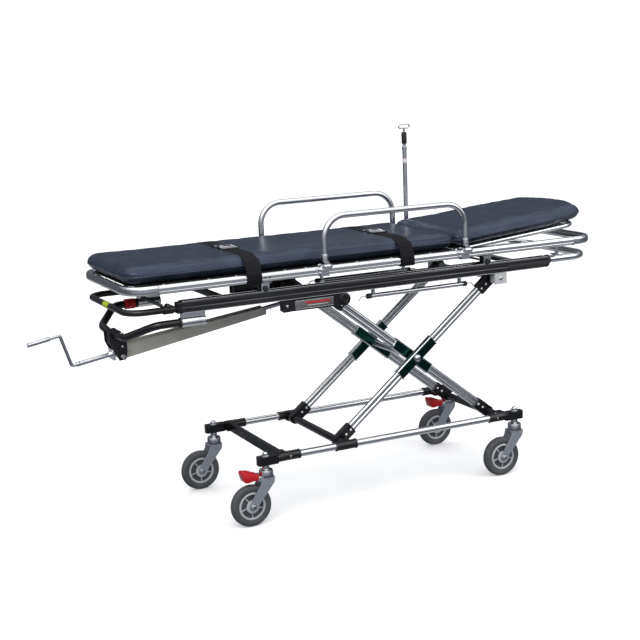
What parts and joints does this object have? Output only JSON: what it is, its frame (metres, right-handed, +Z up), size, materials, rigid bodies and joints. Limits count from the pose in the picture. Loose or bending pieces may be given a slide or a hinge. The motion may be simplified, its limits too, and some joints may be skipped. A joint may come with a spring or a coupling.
{
  "type": "stretcher trolley",
  "caption": "Wheeled scissor-lift stretcher trolley with a hand crank, lift-off stretcher top, raising backrest, folding side rails and infusion pole.",
  "frame": {"origin": "on the floor, under the middle of the whole length from the crank's end to the head end", "axes": "+X towards the patient's head, +Y towards the side with the infusion pole, +Z up"},
  "size_m": [2.2078, 0.589, 1.3282],
  "materials": {
    "bright_tube": "satin",
    "chrome_tube": "polished",
    "chrome": "polished",
    "zinc_steel": "satin",
    "dark_rail": "satin",
    "black_casting": "satin",
    "black_plastic": "matte",
    "green_sleeve": "satin",
    "grey_paint": "satin",
    "beige_paint": "satin",
    "hammered_grey": "gloss",
    "rim_grey": "satin",
    "tyre": "matte",
    "red_plastic": "gloss",
    "leatherette": "satin",
    "webbing": "matte"
  },
  "bodies": {
    "base": {"base_side_tubes": "bright_tube", "corner_castings": "black_casting", "base_crossbars": "black_casting", "caster_stems": "chrome"},
    "inner_legs": {"inner_leg_tubes": "bright_tube", "inner_leg_ends": "black_casting", "inner_pivot_sleeves": "green_sleeve", "centre_cross_shaft": "bright_tube"},
    "outer_legs": {"outer_leg_tubes": "bright_tube", "outer_leg_ends": "black_casting", "outer_pivot_sleeves": "green_sleeve"},
    "lower_carriage": {"lower_carriage": "black_casting"},
    "upper_carriage": {"drive_shaft": "zinc_steel", "slider_blocks": "black_plastic"},
    "platform": {"platform_rails": "dark_rail", "head_loop": "bright_tube", "foot_loop": "black_casting", "crank_frame": "black_casting", "frame_sockets": "bright_tube", "guide_channels": "black_casting", "upper_pivot_mounts": "grey_paint", "platform_crossbars": "dark_rail", "lock_rods": "bright_tube"},
    "release_sleeve": {"release_sleeve": "red_plastic"},
    "screw_unit": {"screw_housing": "beige_paint", "screw_bearing": "chrome"},
    "crank": {"lead_screw": "zinc_steel", "crank_handle": "zinc_steel"},
    "crank_grip": {"crank_grip": "zinc_steel"},
    "stretcher": {"stretcher_side_tubes": "bright_tube", "stretcher_bows": "bright_tube", "deck_sheet": "black_plastic", "stretcher_cross_members": "dark_rail", "roller_brackets": "chrome", "rail_clamps": "chrome", "mattress_main": "leatherette", "straps": "webbing", "strap_buckles": "chrome"},
    "rollers_foot": {"rollers_foot": "black_plastic"},
    "rollers_head": {"rollers_head": "black_plastic"},
    "backrest": {"backrest_frame": "bright_tube", "mattress_back": "leatherette"},
    "side_rail_near": {"side_rail_near": "chrome_tube"},
    "side_rail_far": {"side_rail_far": "chrome_tube"},
    "pole": {"pole_tube": "chrome_tube"},
    "pole_extension": {"pole_hook": "chrome_tube"},
    "caster_near_foot": {"fork_near_foot": "hammered_grey"},
    "wheel_near_foot": {"rim_near_foot": "rim_grey", "tyre_near_foot": "tyre"},
    "caster_far_foot": {"fork_far_foot": "hammered_grey"},
    "wheel_far_foot": {"rim_far_foot": "rim_grey", "tyre_far_foot": "tyre"},
    "caster_near_head": {"fork_near_head": "hammered_grey"},
    "wheel_near_head": {"rim_near_head": "rim_grey", "tyre_near_head": "tyre"},
    "caster_far_head": {"fork_far_head": "hammered_grey"},
    "wheel_far_head": {"rim_far_head": "rim_grey", "tyre_far_head": "tyre"},
    "pedal_near_foot": {"brake_pedal_near_foot": "red_plastic"},
    "pedal_far_head": {"brake_pedal_far_head": "red_plastic"}
  },
  "joints": [
    {"name": "fold", "type": "hinge", "parent": "base", "child": "inner_legs", "pos_m": [0.6235, 0, 0.232], "axis": [0, -1, 0], "range_deg": [0, 19.5]},
    {"name": "scissor_centre", "type": "hinge", "parent": "inner_legs", "child": "outer_legs", "pos_m": [0.2895, 0, 0.4975], "axis": [0, -1, 0], "range_deg": [-40, 1]},
    {"name": "platform_level", "type": "hinge", "parent": "outer_legs", "child": "platform", "pos_m": [0.6235, 0, 0.763], "axis": [0, -1, 0], "range_deg": [-1, 20.5]},
    {"name": "lower_carriage_level", "type": "hinge", "parent": "outer_legs", "child": "lower_carriage", "pos_m": [-0.0445, 0, 0.232], "axis": [0, -1, 0], "range_deg": [-1, 20.5]},
    {"name": "upper_carriage_level", "type": "hinge", "parent": "inner_legs", "child": "upper_carriage", "pos_m": [-0.0445, 0, 0.763], "axis": [0, -1, 0], "range_deg": [-20.5, 1]},
    {"name": "screw_tilt", "type": "hinge", "parent": "platform", "child": "screw_unit", "pos_m": [-0.7835, 0, 0.621], "axis": [0, -1, 0], "range_deg": [-0.5, 2.6]},
    {"name": "crank_spin", "type": "hinge", "parent": "screw_unit", "child": "crank", "pos_m": [-0.8235, 0, 0.625], "axis": [0.9882, 0, 0.1532], "range_deg": [-6258, 5]},
    {"name": "grip_spin", "type": "hinge", "parent": "crank", "child": "crank_grip", "pos_m": [-0.9895, 0, 0.714], "axis": [-0.9857, 0, -0.1686], "continuous": true},
    {"name": "release_slide", "type": "slide", "parent": "platform", "child": "release_sleeve", "axis": [-1, 0, 0], "range_m": [0, 0.008], "stiffness_N_per_m": 300, "springref_m": -0.004},
    {"name": "stretcher_lift", "type": "slide", "parent": "platform", "child": "stretcher", "axis": [0, 0, 1], "range_m": [0, 0.2]},
    {"name": "rollers_foot_roll", "type": "hinge", "parent": "stretcher", "child": "rollers_foot", "pos_m": [-0.3275, 0, 0.8347], "axis": [0, 1, 0], "continuous": true},
    {"name": "rollers_head_roll", "type": "hinge", "parent": "stretcher", "child": "rollers_head", "pos_m": [0.5755, 0, 0.8347], "axis": [0, 1, 0], "continuous": true},
    {"name": "backrest_tilt", "type": "hinge", "parent": "stretcher", "child": "backrest", "pos_m": [0.4425, 0, 0.882], "axis": [0, -1, 0], "range_deg": [-5, 70]},
    {"name": "side_rail_near_fold", "type": "hinge", "parent": "stretcher", "child": "side_rail_near", "pos_m": [0.1625, -0.281, 0.893], "axis": [1, 0, 0], "range_deg": [0, 180]},
    {"name": "side_rail_far_fold", "type": "hinge", "parent": "stretcher", "child": "side_rail_far", "pos_m": [0.1625, 0.281, 0.893], "axis": [-1, 0, 0], "range_deg": [0, 180]},
    {"name": "pole_fold", "type": "hinge", "parent": "stretcher", "child": "pole", "pos_m": [0.5355, 0.284, 0.868], "axis": [0, 1, 0], "range_deg": [0, 90]},
    {"name": "pole_slide", "type": "slide", "parent": "pole", "child": "pole_extension", "axis": [0, 0, 1], "range_m": [0, 0.25]},
    {"name": "swivel_near_foot", "type": "hinge", "parent": "base", "child": "caster_near_foot", "pos_m": [-0.3605, -0.2425, 0.19], "axis": [0, 0, 1], "continuous": true},
    {"name": "roll_near_foot", "type": "hinge", "parent": "caster_near_foot", "child": "wheel_near_foot", "pos_m": [-0.4235, -0.2425, 0.075], "axis": [0, 1, 0], "continuous": true},
    {"name": "swivel_far_foot", "type": "hinge", "parent": "base", "child": "caster_far_foot", "pos_m": [-0.3605, 0.2425, 0.19], "axis": [0, 0, 1], "continuous": true},
    {"name": "roll_far_foot", "type": "hinge", "parent": "caster_far_foot", "child": "wheel_far_foot", "pos_m": [-0.4235, 0.2425, 0.075], "axis": [0, 1, 0], "continuous": true},
    {"name": "swivel_near_head", "type": "hinge", "parent": "base", "child": "caster_near_head", "pos_m": [0.6855, -0.2425, 0.19], "axis": [0, 0, 1], "continuous": true},
    {"name": "roll_near_head", "type": "hinge", "parent": "caster_near_head", "child": "wheel_near_head", "pos_m": [0.6225, -0.2425, 0.075], "axis": [0, 1, 0], "continuous": true},
    {"name": "swivel_far_head", "type": "hinge", "parent": "base", "child": "caster_far_head", "pos_m": [0.6855, 0.2425, 0.19], "axis": [0, 0, 1], "continuous": true},
    {"name": "roll_far_head", "type": "hinge", "parent": "caster_far_head", "child": "wheel_far_head", "pos_m": [0.6225, 0.2425, 0.075], "axis": [0, 1, 0], "continuous": true},
    {"name": "pedal_press_near_foot", "type": "hinge", "parent": "caster_near_foot", "child": "pedal_near_foot", "pos_m": [-0.3935, -0.2425, 0.176], "axis": [0, -1, 0], "range_deg": [0, 12]},
    {"name": "pedal_press_far_head", "type": "hinge", "parent": "caster_far_head", "child": "pedal_far_head", "pos_m": [0.6525, 0.2425, 0.176], "axis": [0, -1, 0], "range_deg": [0, 12]}
  ],
  "couplings": [
    {"joint": "scissor_centre", "follows": "fold", "ratio": -2},
    {"joint": "platform_level", "follows": "fold", "ratio": 1},
    {"joint": "lower_carriage_level", "follows": "fold", "ratio": 1},
    {"joint": "upper_carriage_level", "follows": "fold", "ratio": -1},
    {"joint": "screw_tilt", "follows": "fold", "ratio": 0.1021},
    {"joint": "crank_spin", "follows": "fold", "ratio": -320.62}
  ]
}
